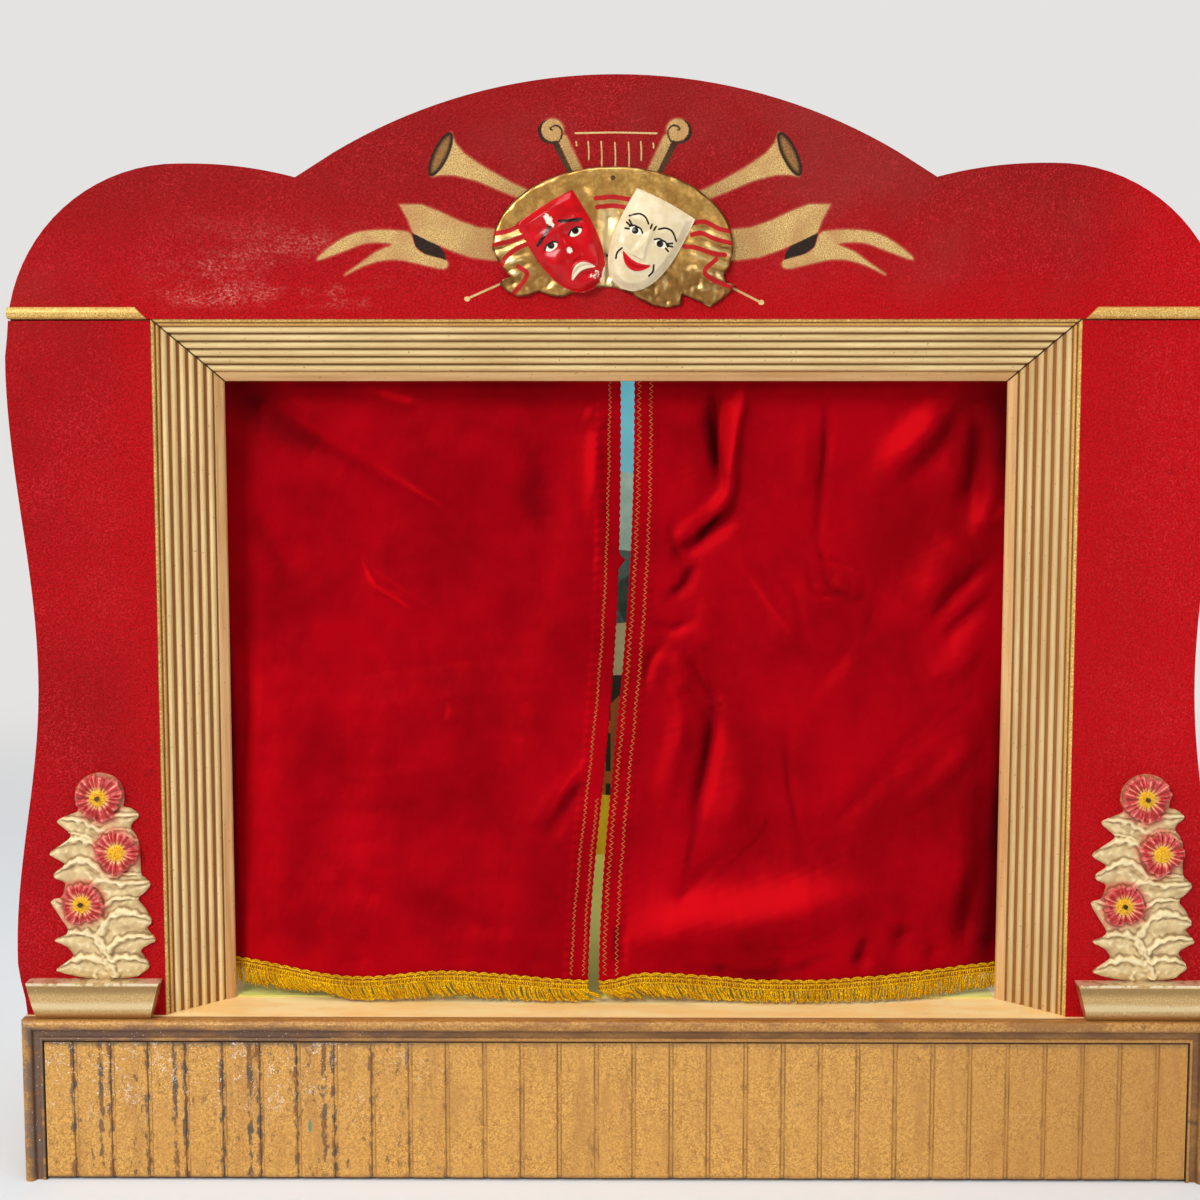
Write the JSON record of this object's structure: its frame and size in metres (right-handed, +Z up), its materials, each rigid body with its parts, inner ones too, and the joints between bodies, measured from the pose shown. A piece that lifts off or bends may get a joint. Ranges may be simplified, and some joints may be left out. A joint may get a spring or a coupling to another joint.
{
  "type": "puppet theatre",
  "caption": "Table-top puppet theatre with a scalloped proscenium, reeded frame, draw curtains on a rod and a backdrop that lifts out.",
  "frame": {"origin": "on the table, under the middle of the stage box", "axes": "+X to the viewer's right across the stage, +Y from the audience towards the backdrop, +Z up"},
  "size_m": [0.8678, 0.54, 0.79],
  "materials": {
    "red_board": "painted, orange-peel texture, satin",
    "cream_moulding": "cream paint with brown glaze in the grooves",
    "gilt_moulding": "worn gilt paint, satin",
    "fascia_gold": "ochre gold paint, mottled and stained",
    "stage_cream": "cream paint, worn, satin",
    "stage_card": "yellow-green printed card, matt",
    "bare_wood": "bare pine, matt",
    "champagne": "champagne gold paint, satin",
    "flower_plaster": "painted cast composition, satin",
    "crest_gilt": "gilded casting with red painted stripes",
    "mask_red": "glossy red enamel, chipped",
    "mask_cream": "glossy cream enamel",
    "velvet": "red velvet with golden zigzag stitching",
    "fringe": "golden yellow rayon bullion fringe",
    "brass": "dull brass",
    "steel": "dull steel",
    "backdrop_paint": "matt painted hardboard"
  },
  "bodies": {
    "theatre": {"stage_floor": "stage_cream", "stage_mat": "stage_card", "base_fascia": "fascia_gold", "fascia_top_moulding": "gilt_moulding", "left_end_moulding": "gilt_moulding", "right_end_moulding": "gilt_moulding", "base_left_end": "gilt_moulding", "base_right_end": "gilt_moulding", "base_back_rail": "bare_wood", "floor_battens": "bare_wood", "corner_blocks": "bare_wood", "end_screws": "steel", "post_screws": "steel", "left_wing": "red_board", "right_wing": "red_board", "left_column": "cream_moulding", "right_column": "cream_moulding", "left_post": "bare_wood", "right_post": "bare_wood", "left_pot": "champagne", "right_pot": "champagne", "left_flowers": "flower_plaster", "right_flowers": "flower_plaster", "flower_pins": "steel", "curtain_rod": "brass", "left_rod_bracket": "steel", "right_rod_bracket": "steel", "left_curtain": "velvet", "right_curtain": "velvet", "left_fringe": "fringe", "right_fringe": "fringe", "left_rear_post": "bare_wood", "right_rear_post": "bare_wood", "left_ring_6": "brass", "right_ring_6": "brass"},
    "pediment": {"pediment_board": "red_board", "header_moulding": "cream_moulding", "left_gilt_strip": "gilt_moulding", "right_gilt_strip": "gilt_moulding", "pediment_back_batten": "bare_wood", "locating_pegs": "bare_wood", "crest_plaque": "crest_gilt", "tragedy_mask": "mask_red", "comedy_mask": "mask_cream", "crest_pin": "steel"},
    "backdrop": {"backdrop_board": "backdrop_paint", "backdrop_lift_rail": "bare_wood"},
    "left_ring_1": {"left_ring_1": "brass"},
    "left_ring_2": {"left_ring_2": "brass"},
    "left_ring_3": {"left_ring_3": "brass"},
    "left_ring_4": {"left_ring_4": "brass"},
    "left_ring_5": {"left_ring_5": "brass"},
    "right_ring_1": {"right_ring_1": "brass"},
    "right_ring_2": {"right_ring_2": "brass"},
    "right_ring_3": {"right_ring_3": "brass"},
    "right_ring_4": {"right_ring_4": "brass"},
    "right_ring_5": {"right_ring_5": "brass"}
  },
  "joints": [
    {"name": "pediment_lift", "type": "slide", "parent": "theatre", "child": "pediment", "axis": [0, 0, 1], "range_m": [0, 0.06]},
    {"name": "backdrop_lift", "type": "slide", "parent": "theatre", "child": "backdrop", "axis": [0, 0, 1], "range_m": [0, 0.49]},
    {"name": "left_curtain_draw", "type": "slide", "parent": "theatre", "child": "left_ring_1", "axis": [-1, 0, 0], "range_m": [0, 0.2], "deforming": ["left_curtain", "left_fringe"]},
    {"name": "left_ring_2_slide", "type": "slide", "parent": "theatre", "child": "left_ring_2", "axis": [-1, 0, 0], "range_m": [0, 0.1613]},
    {"name": "left_ring_3_slide", "type": "slide", "parent": "theatre", "child": "left_ring_3", "axis": [-1, 0, 0], "range_m": [0, 0.1222]},
    {"name": "left_ring_4_slide", "type": "slide", "parent": "theatre", "child": "left_ring_4", "axis": [-1, 0, 0], "range_m": [0, 0.083]},
    {"name": "left_ring_5_slide", "type": "slide", "parent": "theatre", "child": "left_ring_5", "axis": [-1, 0, 0], "range_m": [0, 0.0438]},
    {"name": "right_curtain_draw", "type": "slide", "parent": "theatre", "child": "right_ring_1", "axis": [1, 0, 0], "range_m": [0, 0.2], "deforming": ["right_curtain", "right_fringe"]},
    {"name": "right_ring_2_slide", "type": "slide", "parent": "theatre", "child": "right_ring_2", "axis": [1, 0, 0], "range_m": [0, 0.1614]},
    {"name": "right_ring_3_slide", "type": "slide", "parent": "theatre", "child": "right_ring_3", "axis": [1, 0, 0], "range_m": [0, 0.1223]},
    {"name": "right_ring_4_slide", "type": "slide", "parent": "theatre", "child": "right_ring_4", "axis": [1, 0, 0], "range_m": [0, 0.0832]},
    {"name": "right_ring_5_slide", "type": "slide", "parent": "theatre", "child": "right_ring_5", "axis": [1, 0, 0], "range_m": [0, 0.0441]}
  ],
  "couplings": [
    {"joint": "left_ring_2_slide", "follows": "left_curtain_draw", "ratio": 0.80418},
    {"joint": "left_ring_3_slide", "follows": "left_curtain_draw", "ratio": 0.60836},
    {"joint": "left_ring_4_slide", "follows": "left_curtain_draw", "ratio": 0.41254},
    {"joint": "left_ring_5_slide", "follows": "left_curtain_draw", "ratio": 0.21672},
    {"joint": "right_ring_2_slide", "follows": "right_curtain_draw", "ratio": 0.80446},
    {"joint": "right_ring_3_slide", "follows": "right_curtain_draw", "ratio": 0.60892},
    {"joint": "right_ring_4_slide", "follows": "right_curtain_draw", "ratio": 0.41338},
    {"joint": "right_ring_5_slide", "follows": "right_curtain_draw", "ratio": 0.21784}
  ]
}
